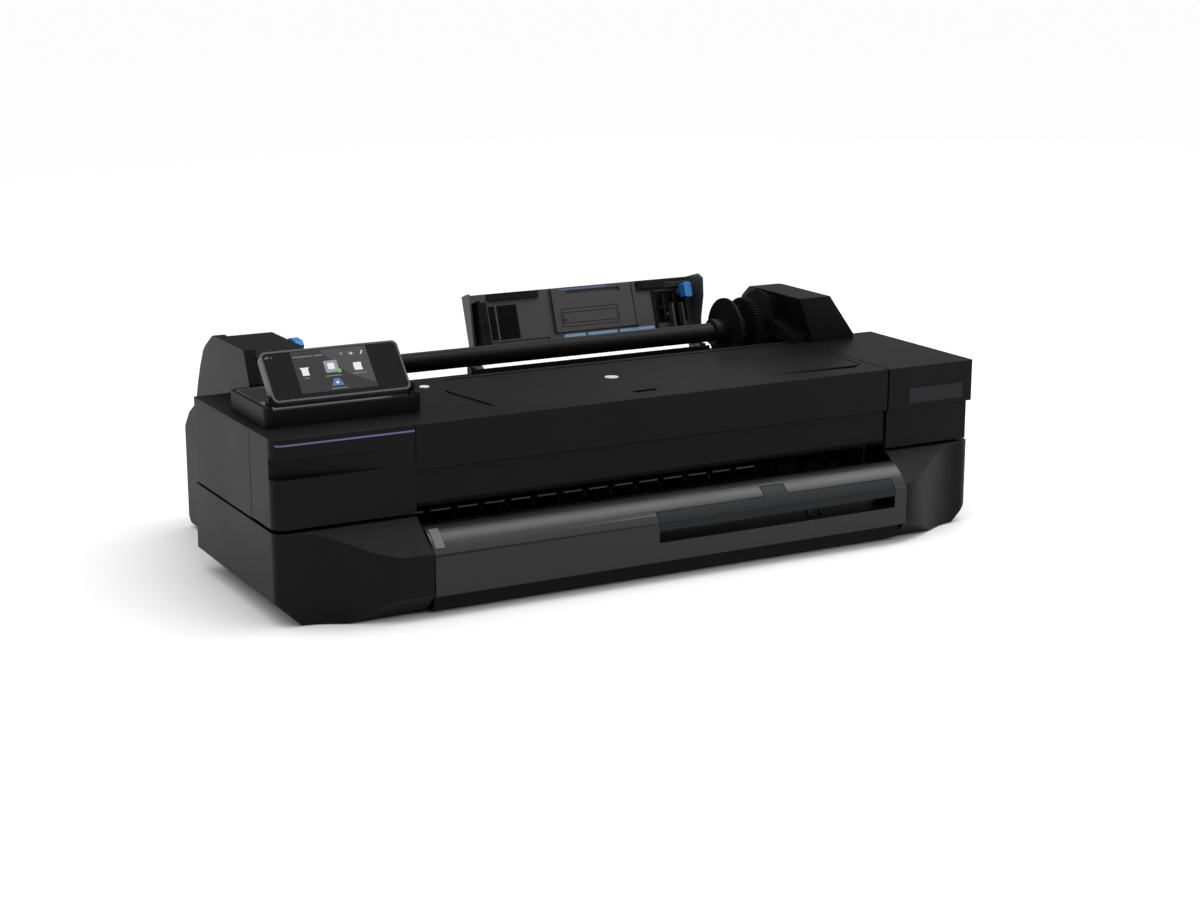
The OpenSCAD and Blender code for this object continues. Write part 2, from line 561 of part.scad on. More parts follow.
pinion_y = idler_y + pinion_d;
pinion_z = idler_z;
module spindle_tube() color([0.05, 0.05, 0.055]) from_front() {
    rod_x(left_x1 - skin - 8, right_x0 + skin + 8, spindle_y, spindle_z, journal_r);
    rod_x(left_x1 + 6, 290, spindle_y, spindle_z, spindle_r);
    rod_x(268, 290, spindle_y, spindle_z, spindle_r + 5);
}
module spindle_flanges() color([0.05, 0.05, 0.055]) from_front() {
    // outer flange against the right support
    difference() {
        union() {
            rod_x(290.2, 294, spindle_y, spindle_z, flange_r);
            rod_x(294, 304, spindle_y, spindle_z, 22);
            for (a = [0:30:330]) translate([294, spindle_y, spindle_z]) rotate([a, 0, 0])
                block(0, 6, -1.2, 1.2, 20, flange_r - 3);
        }
        rod_x(280, 310, spindle_y, spindle_z, journal_r + 0.02);
    }
    // loose flange at the left end of the tube
    difference() {
        union() {
            rod_x(-349, -345, spindle_y, spindle_z, flange_r - 8);
            rod_x(-345, -328, spindle_y, spindle_z, 20);
        }
        rod_x(-355, -320, spindle_y, spindle_z, spindle_r + 0.02);
    }
}
module spindle_gear() color([0.06, 0.06, 0.065]) from_front() {
    gear_x(gear_x0, gear_x1, spindle_y, spindle_z, spindle_teeth, 0, journal_r + 0.02);
    difference() {
        rod_x(305, gear_x0, spindle_y, spindle_z, 15);
        rod_x(300, gear_x0 + 1, spindle_y, spindle_z, journal_r + 0.02);
    }
}
module roll_idler_gear() color([0.08, 0.08, 0.085]) from_front()
    gear_x(gear_x0 + 1, gear_x1 - 1, idler_y, idler_z, idler_teeth, idler_phase, 3 + ease);
// a gap of the idler faces the tooth of the spindle gear on the line between the centres
idler_phase = idler_angle + 180 + 180 / idler_teeth
    - (idler_angle / (360 / spindle_teeth) - round(idler_angle / (360 / spindle_teeth)))
    * (360 / spindle_teeth) * -spindle_teeth / idler_teeth;
pinion_phase = 180 + 180 / pinion_teeth
    - (-idler_phase / (360 / idler_teeth) - round(-idler_phase / (360 / idler_teeth)))
    * (360 / idler_teeth) * -idler_teeth / pinion_teeth;
module roll_pinion() color([0.75, 0.76, 0.78]) from_front() {
    gear_x(gear_x0 + 1, gear_x1 - 1, pinion_y, pinion_z, pinion_teeth, pinion_phase);
    rod_x(gear_x1 - 1, 356, pinion_y, pinion_z, 3);
}
module roll_motor() color([0.35, 0.36, 0.38]) from_front() {
    difference() {
        rod_x(right_x0 + skin, 392, pinion_y, pinion_z, 14);
        rod_x(right_x0, 360, pinion_y, pinion_z, 3.6);
    }
    block(392, 394, pinion_y - 5, pinion_y + 5, pinion_z - 5, pinion_z + 5);
}

// ---------- rear sheet tray ----------
tray_x0 = -47;
tray_x1 = 313;
module leaning() translate([0, hinge_y, hinge_z]) rotate([-tray_lean, 0, 0]) children();
module sheet_tray() color([0.07, 0.07, 0.075]) from_front() leaning() {
    difference() {
        block(tray_x0, tray_x1, 0, 7, 7, tray_len);
        // recess in the back, behind the panel
        block(tray_x0 + 4, tray_x1 - 4, 4, 9, 12, tray_len - 4);
        // channel for the guide
        block(-33, 76, -1, 2.2, 30, 36);
        // embossed outline of a sheet
        difference() {
            block(96, 208, -1, 0.5, 14, 34);
            block(97.2, 206.8, -2, 1, 15.2, 32.8);
        }
    }
    // low feet that reach down to the pins
    for (x = [tray_x0, tray_x1 - 12]) {
        block(x, x + 12, 0, 6, 0, 8);
        rod_x(x, x + 12, 0, 0, 4.5);
    }
    rod_x(tray_x0 - 8, tray_x0 + 2, 0, 0, 2.5);
    rod_x(tray_x1 - 2, tray_x1 + 8, 0, 0, 2.5);
    // side walls, deeper on the right
    sweep_x(tray_x0, tray_x0 + 3,
        [[0.5, 7], [0.5, tray_len], [-14, tray_len], [-16, tray_len - 12], [-6, 14]]);
    sweep_x(tray_x1 - 3, tray_x1, [[0.5, 7], [0.5, tray_len], [-34, tray_len - 2], [-44, tray_len - 10],
        [-38, 70], [-22, 40], [-14, 14]]);
    block(tray_x1 - 44, tray_x1 - 3, -6, 0.5, tray_len - 13, tray_len - 6);
    for (x = [tray_x1 - 40, tray_x1 - 24]) block(x, x + 3, -12, 0.5, 24, 66);
    difference() {
        rod_y(-6, 0.5, knob_x, knob_z, 7);
        rod_y(-7, 0.2, knob_x, knob_z, 3 + ease);
    }
}
module sheet_guide() color([0.06, 0.06, 0.065]) from_front() leaning() {
    block(-38, -34, -24, -0.4, 18, 92);
    block(-34, -16, -3.4, -0.4, 18, 92);
    block(-32, -20, -0.6, 2, 30.4, 35.6);
    block(-34, -20, -8, -3, 60, 84);
}
module tray_extender() color([0.09, 0.09, 0.095]) from_front() leaning() {
    difference() {
        block(86, 220, -3.2, -0.4, 40, tray_len - 1.5);
        block(110, 196, -4, 0.5, tray_len - 12, tray_len - 6);
    }
    for (x = [86, 216]) block(x, x + 4, -5, -3, 40, tray_len - 1.5);
}
knob_x = tray_x1 - 17;
knob_z = 82;
module guide_lever() color([0.36, 0.52, 0.78]) from_front() leaning() {
    rod_y(-20, 0, knob_x, knob_z, 3);
    intersection() {
        rod_y(-26, -12, knob_x, knob_z, 11);
        block(knob_x - 6, knob_x + 6, -27, -11, knob_z - 12, knob_z + 12);
    }
}

// ---------- mechanism ----------
plate_l = -334;
plate_r = 350;
plate_t = 2;
pinch_r = 5;
pinch_z = paper_z + 0.3 + pinch_r;
feed_gear_teeth = 40;
feed_pinion_teeth = 10;
feed_d = (feed_gear_teeth + feed_pinion_teeth) * tooth / 2;
feed_gear_x = plate_r + plate_t + 2;
pulley_r = 8;
pulley_l = -318;
pulley_rt = 328;
belt_y0 = 134;
belt_z = 168;
module mech_frame() color([0.6, 0.61, 0.63]) from_front() {
    for (x = [plate_l, plate_r]) difference() {
        sweep_x(x, x + plate_t, [[42, 24], [200, 24], [200, 204], [90, 204], [70, 190], [42, 130]]);
        rod_x(x - 1, x + 3, roller_y, roller_z, 4 + ease);
        rod_x(x - 1, x + 3, roller_y, pinch_z, 2 + ease);
        rod_x(x - 1, x + 3, rod_y, rod_z, 5);
    }
    difference() {
        block(plate_l + plate_t, plate_r, 164, 200, 122, 190);
        block(plate_l + plate_t - 1, plate_r + 1, 166, 201, 124, 188);
        for (x = [pulley_l, pulley_rt]) rod_y(160, 170, x, belt_z, 2 + ease);
    }
    // foot flanges
    for (x = [plate_l + plate_t, plate_r - 30]) block(x, x + 30, 40, 196, 24, 26);
}
module platen() color([0.08, 0.08, 0.085]) from_front() {
    x0 = plate_l + plate_t + 2;
    x1 = 214;
    block(x0, x1, 48, 120, paper_z - 14, paper_z - 3);
    for (x = [x0 + 8:26:x1 - 4]) block(x, x + 2, 50, 118, paper_z - 4, paper_z - 0.4);
}
module feed_roller() color([0.12, 0.12, 0.12]) from_front() {
    rod_x(plate_l - 3, feed_gear_x + 9, roller_y, roller_z, 4);
    rod_x(plate_l + 4, plate_r - 2, roller_y, roller_z, roller_r);
}
module pinch_rollers() color([0.35, 0.35, 0.36]) from_front() {
    rod_x(plate_l - 3, plate_r + plate_t + 1, roller_y, pinch_z, 2);
    for (i = [0:7]) rod_x(-300 + i * 84, -300 + i * 84 + 30, roller_y, pinch_z, pinch_r);
}
module feed_gear() color([0.85, 0.85, 0.83]) from_front()
    gear_x(feed_gear_x, feed_gear_x + 7, roller_y, roller_z, feed_gear_teeth, 0, 4.02);
module feed_pinion() color([0.75, 0.68, 0.45]) from_front() {
    gear_x(feed_gear_x + 0.5, feed_gear_x + 6.5, roller_y + feed_d, roller_z, feed_pinion_teeth,
           180 + 180 / feed_pinion_teeth);
    rod_x(feed_gear_x + 6, feed_gear_x + 16, roller_y + feed_d, roller_z, 2);
}
module feed_motor() color([0.4, 0.41, 0.43]) from_front() difference() {
    rod_x(feed_gear_x + 10, feed_gear_x + 46, roller_y + feed_d, roller_z, 18);
    rod_x(feed_gear_x + 9, feed_gear_x + 20, roller_y + feed_d, roller_z, 2.6);
}
car_x0 = 222;
car_x1 = 306;
module carriage() color([0.1, 0.1, 0.105]) from_front() {
    difference() {
        union() {
            block(car_x0, car_x1, 52, 126, 106, 176);
            block(car_x0 + 10, car_x1 - 10, 40, 53, 112, 150);
            block(car_x0 + 4, car_x1 - 4, 56, 120, 175, 184);
        }
        block(car_x0 + 4, car_x1 - 4, 56, 98, 112, 172);
        rod_x(car_x0 - 1, car_x1 + 1, rod_y, rod_z, 5 + ease);
    }
    // clamp around the belt
    difference() {
        block(car_x0 + 34, car_x0 + 50, 125, belt_y0 + 9, belt_z - 13, belt_z - 4);
        block(car_x0 + 33, car_x0 + 51, belt_y0 - 1, belt_y0 + 10,
            belt_z - pulley_r - 2.4, belt_z - pulley_r + 0.8);
    }
}
module print_heads() color([0.12, 0.13, 0.16]) from_front()
    for (x = [car_x0 + 8, car_x0 + 46]) {
        block(x, x + 30, 58, 94, 112.2, 140);
        block(x + 3, x + 27, 62, 90, 99, 105.8);
    }
module guide_rod() color([0.78, 0.79, 0.8]) from_front()
    rod_x(plate_l, plate_r + plate_t + 2, rod_y, rod_z, 5);
module encoder_strip() color([0.55, 0.56, 0.58, 0.6]) from_front()
    block(plate_l + plate_t, plate_r, 146, 146.5, 182, 190);
module drive_belt() color([0.03, 0.03, 0.03]) from_front() {
    translate([0, belt_y0 + 7, 0]) rotate([90, 0, 0]) linear_extrude(6) difference() {
        union() {
            for (x = [pulley_l, pulley_rt]) translate([x, belt_z]) circle(r = pulley_r + 1.6, $fn = 48);
            translate([pulley_l, belt_z - pulley_r - 1.6]) square([pulley_rt - pulley_l, 2 * pulley_r + 3.2]);
        }
        for (x = [pulley_l, pulley_rt]) translate([x, belt_z]) circle(r = pulley_r + 0.4, $fn = 48);
        translate([pulley_l, belt_z - pulley_r - 0.4]) square([pulley_rt - pulley_l, 2 * pulley_r + 0.8]);
    }
}
module pulley(x) {
    rod_y(belt_y0 + 0.6, belt_y0 + 7.4, x, belt_z, pulley_r);
    for (y = [belt_y0 - 1, belt_y0 + 7.4]) rod_y(y, y + 1, x, belt_z, pulley_r - 1);
    rod_y(belt_y0 - 1, 176, x, belt_z, 2);
}
module motor_pulley() color([0.7, 0.7, 0.72]) from_front() pulley(pulley_rt);
module idler_pulley() color([0.7, 0.7, 0.72]) from_front() pulley(pulley_l);
module carriage_motor() color([0.4, 0.41, 0.43]) from_front() difference() {
    rod_y(166, 196, pulley_rt, belt_z, 17);
    rod_y(160, 178, pulley_rt, belt_z, 2.6);
}

// ---------- ink, service and electronics ----------
cart_x0 = -472;
cart_pitch = 34;
module cartridge_bay() color([0.12, 0.12, 0.13]) from_front() {
    difference() {
        block(cart_x0 - 4, cart_x0 + 4 * cart_pitch + 2, 26, 124, up_bottom + 12, 198);
        for (i = [0:3])
            block(cart_x0 + i * cart_pitch, cart_x0 + i * cart_pitch + 30, 20, 121, up_bottom + 15, 195);
    }
    // sill and ears for the ink door's pins
    block(cart_x0 - 4, cart_x0 + 4 * cart_pitch + 2, 26, 34, door_axis_z - 3, up_bottom + 12);
    for (k = door_knuckles) for (x = [k - 4, k + 14.6]) difference() {
        union() {
            rod_x(x, x + 3.4, door_axis_y, door_axis_z, 4);
            block(x, x + 3.4, door_axis_y, 27, door_axis_z - 3, door_axis_z + 3);
        }
        rod_x(x - 1, x + 5, door_axis_y, door_axis_z, 2 + ease);
    }
}
module ink_cartridges() color([0.14, 0.14, 0.15]) from_front() for (i = [0:3]) {
    x = cart_x0 + i * cart_pitch;
    block(x + 0.5, x + 29.5, 28, 112, up_bottom + 15.2, 192);
    block(x + 6, x + 24, 22, 28, 140, 176);
}
module service_station() color([0.2, 0.2, 0.21]) from_front() difference() {
    block(220, 308, 48, 122, 40, 88);
    block(224, 304, 52, 118, 44, 89);
}
module cap_sled() color([0.3, 0.3, 0.31]) from_front() {
    block(226, 302, 56, 110, 60, 74);
    for (x = [car_x0 + 8, car_x0 + 46]) block(x + 2, x + 28, 61, 91, 73, 98);
}
module main_board() color([0.08, 0.28, 0.16]) from_front() {
    block(-300, -90, 380, 460, 30, 31.6);
    for (c = [[-270, 400, 24], [-215, 420, 30], [-150, 395, 18], [-120, 430, 14]])
        block(c[0], c[0] + c[2], c[1], c[1] + c[2], 31.6, 35);
    for (x = [-296, -98]) for (y = [384, 452]) rod_z(floor_gap + skin, 30, x, y, 3);
}
module power_supply() color([0.5, 0.51, 0.53]) from_front() {
    difference() {
        block(60, 240, 360, 452, 5, 53);
        block(62, 238, 362, 450, 7, 51);
        for (i = [0:9]) block(78 + i * 15, 84 + i * 15, 376, 436, 50, 54);
    }
    block(76, 200, 384, 430, 7, 35);
}

base_pan();
rubber_feet();
left_lower_housing();
right_lower_housing();
left_side_cover();
right_lower_cover();
right_end_cap();
front_panel();
top_deck();
window_panel();
emblem_disc();
ink_door();
ink_door_stripe();
display_bay();
bay_liner();
display_housing();
display_glass();
power_button();
label_plate();
output_tray();
tray_extension();
rear_housing();
connector_panel();
mains_inlet();
left_support();
right_support();
latch_lever();
spindle_tube();
spindle_flanges();
spindle_gear();
roll_idler_gear();
roll_pinion();
roll_motor();
sheet_tray();
sheet_guide();
tray_extender();
guide_lever();
mech_frame();
platen();
feed_roller();
pinch_rollers();
feed_gear();
feed_pinion();
feed_motor();
carriage();
print_heads();
guide_rod();
encoder_strip();
drive_belt();
motor_pulley();
idler_pulley();
carriage_motor();
cartridge_bay();
ink_cartridges();
service_station();
cap_sled();
main_board();
power_supply();
case_screws();
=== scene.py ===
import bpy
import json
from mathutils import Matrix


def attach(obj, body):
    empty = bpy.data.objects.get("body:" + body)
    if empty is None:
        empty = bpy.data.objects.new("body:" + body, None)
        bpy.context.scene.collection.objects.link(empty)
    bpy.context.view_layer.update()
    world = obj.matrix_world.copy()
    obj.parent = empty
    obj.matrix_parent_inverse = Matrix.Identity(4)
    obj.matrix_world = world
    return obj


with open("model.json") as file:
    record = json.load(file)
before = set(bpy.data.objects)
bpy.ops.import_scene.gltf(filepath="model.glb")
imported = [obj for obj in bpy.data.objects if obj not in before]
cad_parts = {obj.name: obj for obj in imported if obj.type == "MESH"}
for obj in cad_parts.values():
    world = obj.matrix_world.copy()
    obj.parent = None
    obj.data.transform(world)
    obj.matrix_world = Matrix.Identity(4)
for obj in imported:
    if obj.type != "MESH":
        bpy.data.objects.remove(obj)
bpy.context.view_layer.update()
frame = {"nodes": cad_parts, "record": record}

import json
import math

import bmesh
import bpy
from mathutils import Matrix, Vector

nodes = frame["nodes"]
MM = 0.001
FRONT = -0.215          # depth of the upper front plane, where the depths in millimetres start


def at(x, y, z):
    """A point given in millimetres, with its depth measured from the upper front plane."""
    return Vector((x * MM, FRONT + y * MM, z * MM))


# ---------- materials ----------
def node(tree, kind, **sockets):
    """A shader node with these constants on its sockets."""
    made = tree.nodes.new(kind)
    for name, value in sockets.items():
        made.inputs[name.replace("_", " ")].default_value = value
    return made


def surface(name, colour, rough=0.5, spec=0.15, grain=1400, bump=0.25, spread=0.25, wear_and_edge_highlight=0.0,
            metal=0.0, streak=None, glow=None):
    """A moulded, plated or printed surface: fine grain, cloudy colour and roughness, and lighter edges,
    partly rubbed wear and partly a painted highlight.
    """
    mat = bpy.data.materials.new(name)
    mat.use_nodes = True
    tree = mat.node_tree
    link = tree.links.new
    shader = tree.nodes["Principled BSDF"]
    shader.inputs["Specular IOR Level"].default_value = spec
    shader.inputs["Metallic"].default_value = metal
    place = node(tree, "ShaderNodeTexCoord")
    where = place.outputs["Object"]
    if streak:
        stretch = tree.nodes.new("ShaderNodeVectorMath")
        stretch.operation = "MULTIPLY"
        stretch.inputs[1].default_value = streak
        link(where, stretch.inputs[0])
        where = stretch.outputs[0]
    fine = node(tree, "ShaderNodeTexNoise", Scale=grain, Detail=2.0)
    cloud = node(tree, "ShaderNodeTexNoise", Scale=11.0, Detail=4.0, Roughness=0.6)
    link(where, fine.inputs["Vector"])
    link(place.outputs["Object"], cloud.inputs["Vector"])
    tint = tree.nodes.new("ShaderNodeMix")
    tint.data_type = "RGBA"
    tint.inputs["A"].default_value = (*[c * (1 - spread) for c in colour], 1)
    tint.inputs["B"].default_value = (*[min(1.0, c * (1 + spread)) for c in colour], 1)
    link(cloud.outputs["Fac"], tint.inputs["Factor"])
    shade = tint.outputs["Result"]
    gloss = node(tree, "ShaderNodeMapRange")
    gloss.inputs["To Min"].default_value = max(0.02, rough - 0.07)
    gloss.inputs["To Max"].default_value = min(1.0, rough + 0.07)
    link(cloud.outputs["Fac"], gloss.inputs["Value"])
    # Edges turn lighter where the bevel normal parts from the true normal: partly rubbed wear, partly a
    # painted edge highlight.
    if wear_and_edge_highlight:
        edge = tree.nodes.new("ShaderNodeBevel")
        edge.samples = 4
        edge.inputs["Radius"].default_value = 0.0012
        straight = tree.nodes.new("ShaderNodeNewGeometry")
        along = tree.nodes.new("ShaderNodeVectorMath")
        along.operation = "DOT_PRODUCT"
        link(edge.outputs["Normal"], along.inputs[0])
        link(straight.outputs["Normal"], along.inputs[1])
        rubbed_and_highlit_edge = node(tree, "ShaderNodeMapRange")
        rubbed_and_highlit_edge.inputs["From Min"].default_value = 0.99
        rubbed_and_highlit_edge.inputs["From Max"].default_value = 0.86
        rubbed_and_highlit_edge.inputs["To Max"].default_value = wear_and_edge_highlight
        link(along.outputs["Value"], rubbed_and_highlit_edge.inputs["Value"])
        broken = tree.nodes.new("ShaderNodeMath")
        broken.operation = "MULTIPLY"
        link(rubbed_and_highlit_edge.outputs["Result"], broken.inputs[0])
        link(cloud.outputs["Fac"], broken.inputs[1])
        worn_and_highlit_edge = tree.nodes.new("ShaderNodeMix")
        worn_and_highlit_edge.data_type = "RGBA"
        worn_and_highlit_edge.inputs["B"].default_value = (*[min(1.0, c * 2 + 0.03) for c in colour], 1)
        link(broken.outputs["Value"], worn_and_highlit_edge.inputs["Factor"])
        link(shade, worn_and_highlit_edge.inputs["A"])
        shade = worn_and_highlit_edge.outputs["Result"]
    link(shade, shader.inputs["Base Color"])
    link(gloss.outputs["Result"], shader.inputs["Roughness"])
    relief = node(tree, "ShaderNodeBump", Strength=bump, Distance=0.0002)
    link(fine.outputs["Fac"], relief.inputs["Height"])
    link(relief.outputs["Normal"], shader.inputs["Normal"])
    if glow:
        shader.inputs["Emission Color"].default_value = (*glow[0], 1)
        shader.inputs["Emission Strength"].default_value = glow[1]
    return mat


BLACK = (0.0072, 0.0072, 0.0075)
look = {
    "cover_black": surface("cover_plastic", BLACK, 0.4, 0.07, wear_and_edge_highlight=0.5),
    "inner_black": surface("inner_plastic", (0.006, 0.006, 0.0065), 0.55, 0.08, 900, 0.3, wear_and_edge_highlight=0.4),
    "rubber": surface("dark_rubber", (0.011, 0.011, 0.011), 0.75, 0.15, 700, 0.5),
    "emblem_silver": surface("silver_disc", (0.72, 0.73, 0.74), 0.4, 0.5, 2500, 0.1, 0.06, metal=0.3),
    "stripe_violet": surface("violet_stripe", (0.1, 0.12, 0.25), 0.35, 0.3, 1800, 0.1),
    "liner_grey": surface("liner_plastic", (0.12, 0.122, 0.128), 0.5, 0.3, 1400, 0.2, 0.1),
    "display_frame": surface("display_rim", (0.062, 0.063, 0.067), 0.38, 0.25, 1600, 0.15, 0.15, wear_and_edge_highlight=0.4),
    "display_black": surface("display_panel", (0.004, 0.004, 0.0045), 0.1, 0.1, 300, 0.02, 0.1),
    "button_white": surface("button_plastic", (0.8, 0.8, 0.79), 0.3, 0.5, 1600, 0.1, 0.04),
    "label_grey": surface("label_panel", (0.016, 0.0165, 0.018), 0.35, 0.12, 1800, 0.12, 0.15),
    "tray_green": surface("tray_plastic", (0.0066, 0.0082, 0.0069), 0.22, 0.32, 1600, 0.15, 0.15, wear_and_edge_highlight=0.4),
    "extension_blue": surface("extension_plastic", (0.0095, 0.0112, 0.0132), 0.36, 0.15, 1600, 0.15,
                              wear_and_edge_highlight=0.4),
    "zinc_steel": surface("plated_steel", (0.45, 0.46, 0.47), 0.42, 0.5, 350, 0.2, 0.12, metal=1.0,
                          streak=(1, 6, 6)),
    "touch_blue": surface("touch_plastic", (0.012, 0.17, 0.52), 0.35, 0.4, 1500, 0.12, 0.12, wear_and_edge_highlight=0.3),
    "spindle_black": surface("spindle_plastic", (0.006, 0.006, 0.0065), 0.28, 0.12, 1300, 0.15, wear_and_edge_highlight=0.3),
    "bright_steel": surface("ground_steel", (0.62, 0.63, 0.64), 0.22, 0.5, 500, 0.1, 0.08, metal=1.0,
                            streak=(1, 9, 9)),
    "roller_grit": surface("grit_coating", (0.06, 0.06, 0.062), 0.7, 0.3, 1100, 0.8, 0.3),
    "white_nylon": surface("nylon", (0.62, 0.61, 0.57), 0.5, 0.4, 900, 0.12, 0.06),
    "pinion_brass": surface("turned_brass", (0.6, 0.42, 0.16), 0.3, 0.5, 700, 0.15, 0.12, metal=1.0),
    "encoder_film": surface("strip_film", (0.3, 0.31, 0.32), 0.2, 0.5, 600, 0.05, 0.1),
    "board_green": surface("board_mask", (0.01, 0.1, 0.04), 0.35, 0.4, 1200, 0.15, 0.15),
}
# The rear sheet tray and its extender get a lighter black than the other plastics: a painted sheen for the
# light their tilted fronts catch.
rear_tray_painted_sheen = surface("rear_tray_painted_sheen_plastic", (0.045, 0.045, 0.046), 0.42, 0.3, 1300, 0.15, wear_and_edge_highlight=0.4)
sticker = surface("sticker_blue", (0.2, 0.34, 0.5), 0.35, 0.4, 1800, 0.08, 0.08)
# Near-black patches laid flat on the rear tray where its pockets and slots are: painted shade of the
# hollows.
recess_painted_shade = surface("recess_painted_shade_plastic", (0.0035, 0.0035, 0.004), 0.6, 0.05, 700, 0.5, 0.4)
line_blue = surface("line_blue", (0.09, 0.12, 0.3), 0.35, 0.3, 1800, 0.1)
plate = surface("plate_foil", (0.3, 0.305, 0.31), 0.35, 0.5, 1600, 0.08, 0.06, metal=0.4)
gold = surface("contact_gold", (0.75, 0.55, 0.2), 0.25, 0.5, 900, 0.1, 0.08, metal=1.0)
inks = [surface("ink_" + name, colour, 0.4, 0.3, 1500, 0.1) for name, colour in
        (("magenta", (0.4, 0.02, 0.14)), ("yellow", (0.6, 0.42, 0.03)), ("cyan", (0.02, 0.24, 0.45)),
         ("matt_black", (0.02, 0.02, 0.02)))]
screen = surface("screen_ground", (0.01, 0.01, 0.01), 0.15, 0.1, 900, 0.02, glow=((1.0, 1.0, 1.0), 0.028))
# A glowing patch brighter than the screen's ground: a painted reflection of light across the glass.
glass_painted_reflection = surface("screen_painted_reflection", (0.01, 0.01, 0.01), 0.15, 0.1, 900, 0.02, glow=((1.0, 1.0, 1.0), 0.062))
lit = {name: surface("screen_" + name, (0.02, 0.02, 0.02), 0.2, 0.1, 900, 0.02, glow=(colour, power))
       for name, colour, power in (("white", (1, 1, 1), 0.8), ("soft", (0.75, 0.85, 1), 0.33),
                                   ("grey", (1, 1, 1), 0.22), ("blue", (0.2, 0.4, 1), 0.42),
                                   ("green", (0.35, 0.8, 0.3), 0.5), ("rose", (1, 0.35, 0.55), 0.4))}

# ---------- pieces ----------
def face(origin, lean):
    """Turns millimetres on a leaning face, with z up along it, into the frame's metres."""
    return Matrix.Translation(origin) @ Matrix.Rotation(math.radians(lean), 4, "X") @ Matrix.Scale(MM, 4)


CHASSIS = Matrix.Translation((0, FRONT, 0)) @ Matrix.Scale(MM, 4)
DISPLAY = face(at(0, 72, 249), 48 - 90)
TRAY = face(at(0, 408, 187), -19)


def slab(outline, y0, y1):
    """A flat shape in x and z, from depth y0 to y1."""
    count = len(outline)
    points = [(x, y, z) for y in (y0, y1) for x, z in outline]
    rim = [(k, (k + 1) % count, count + (k + 1) % count, count + k) for k in range(count)]
    return points, [tuple(range(count)), tuple(range(2 * count - 1, count - 1, -1)), *rim]


def bar(x0, x1, y0, y1, z0, z1):
    """A straight bar between two corners."""
    return slab([(x0, z0), (x1, z0), (x1, z1), (x0, z1)], y0, y1)


def rounded(x0, x1, z0, z1, r, y0, y1):
    """A plate with corners of radius r, from depth y0 to y1."""
    corners = ((x1 - r, z1 - r, 0), (x0 + r, z1 - r, 90), (x0 + r, z0 + r, 180), (x1 - r, z0 + r, 270))
    turns = [(cx, cz, math.radians(a + k * 22.5)) for cx, cz, a in corners for k in range(5)]
    return slab([(cx + r * math.cos(a), cz + r * math.sin(a)) for cx, cz, a in turns], y0, y1)


def disc(x, z, r, y0, y1, count=28):
    """A round plate from depth y0 to y1."""
    return slab([(x + r * math.cos(k * math.tau / count), z + r * math.sin(k * math.tau / count))
                 for k in range(count)], y0, y1)


def piece(name, body, place, parts, edge=0.15):
    """One object made of several shapes, each with its own material, on a CAD body."""
    build = bmesh.new()
    mesh = bpy.data.meshes.new(name)
    for material, (points, faces) in parts:
        if material.name not in mesh.materials:
            mesh.materials.append(material)
        made = [build.verts.new(place @ Vector(point)) for point in points]
        for corners in faces:
            build.faces.new([made[k] for k in corners]).material_index = mesh.materials.find(material.name)
    bmesh.ops.recalc_face_normals(build, faces=build.faces)
    build.to_mesh(mesh)
    build.free()
    made = bpy.data.objects.new(name, mesh)
    bpy.context.scene.collection.objects.link(made)
    if edge:
        soft = made.modifiers.new("edges", "BEVEL")
        soft.width = edge * MM
        soft.segments = 2
        soft.limit_method = "ANGLE"
        soft.angle_limit = math.radians(40)
        soft.harden_normals = True
    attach(made, body)


# display: a plain menu of pictures, with short bars where captions go, and a lighter glowing patch at the
# upper right that is a painted reflection on the glass
GROUND, MARK = (0.11, 0.19), (0.04, 0.1)
picture = [(screen, rounded(-425.5, -330, 8.2, 65.8, 0.8, *GROUND)),
           (glass_painted_reflection, slab([(-389, 65.2), (-330.6, 65.2), (-330.6, 14), (-362, 30)], 0.07, 0.1))]
picture += [(lit["white"], shape) for shape in (
    slab([(-418, 32), (-409.5, 32), (-409.5, 40.5), (-408, 43), (-419.5, 43), (-418, 40)], *MARK),
    rounded(-384.5, -376, 37.5, 46, 0.7, 0.0, 0.035),
    slab([(-352, 33), (-342, 33), (-342.6, 38), (-342, 43.5), (-352, 43.5), (-352.6, 38)], *MARK),
    slab([(-339.5, 54.5), (-338.4, 54), (-335.6, 59), (-336.8, 59.8)], *MARK))]
picture += [(lit["soft"], rounded(-388.5, -371.5, 33, 49.5, 1.6, *MARK)),
            (lit["green"], disc(-372, 34.8, 3, 0.0, 0.035)),
            (lit["blue"], slab([(-386, 14.8), (-370.5, 14.8), (-373, 20), (-375, 24.5), (-381.5, 24.5),
                                (-383.5, 20)], *MARK)),
            (lit["white"], disc(-378.3, 19, 1.7, 0.0, 0.035)),
            (lit["grey"], disc(-363, 57.2, 1.8, *MARK)),
            (lit["rose"], bar(-354, -352.2, *MARK, 55, 59)),
            (lit["white"], bar(-351.6, -349.8, *MARK, 55, 58)),
            (lit["grey"], bar(-349.2, -347.4, *MARK, 55, 57))]
picture += [(lit["grey"], rounded(x0, x1, z, z + 1.1, 0.5, *MARK)) for x0, x1, z in (
    (-424, -400, 57.5), (-398, -386, 57.5), (-417, -410, 28), (-390.5, -370, 28), (-356, -338.5, 28.2),
    (-388, -368, 10.6))]
picture += [(lit["grey"], bar(-458.2 + 1.7 * k, -457.2 + 1.7 * k, *MARK, 59.6, 60.8 + k)) for k in range(3)]
picture += [(lit["grey"], disc(-450, 60.4, 0.8, *MARK))]
piece("screen_picture", "display", DISPLAY, picture, 0)

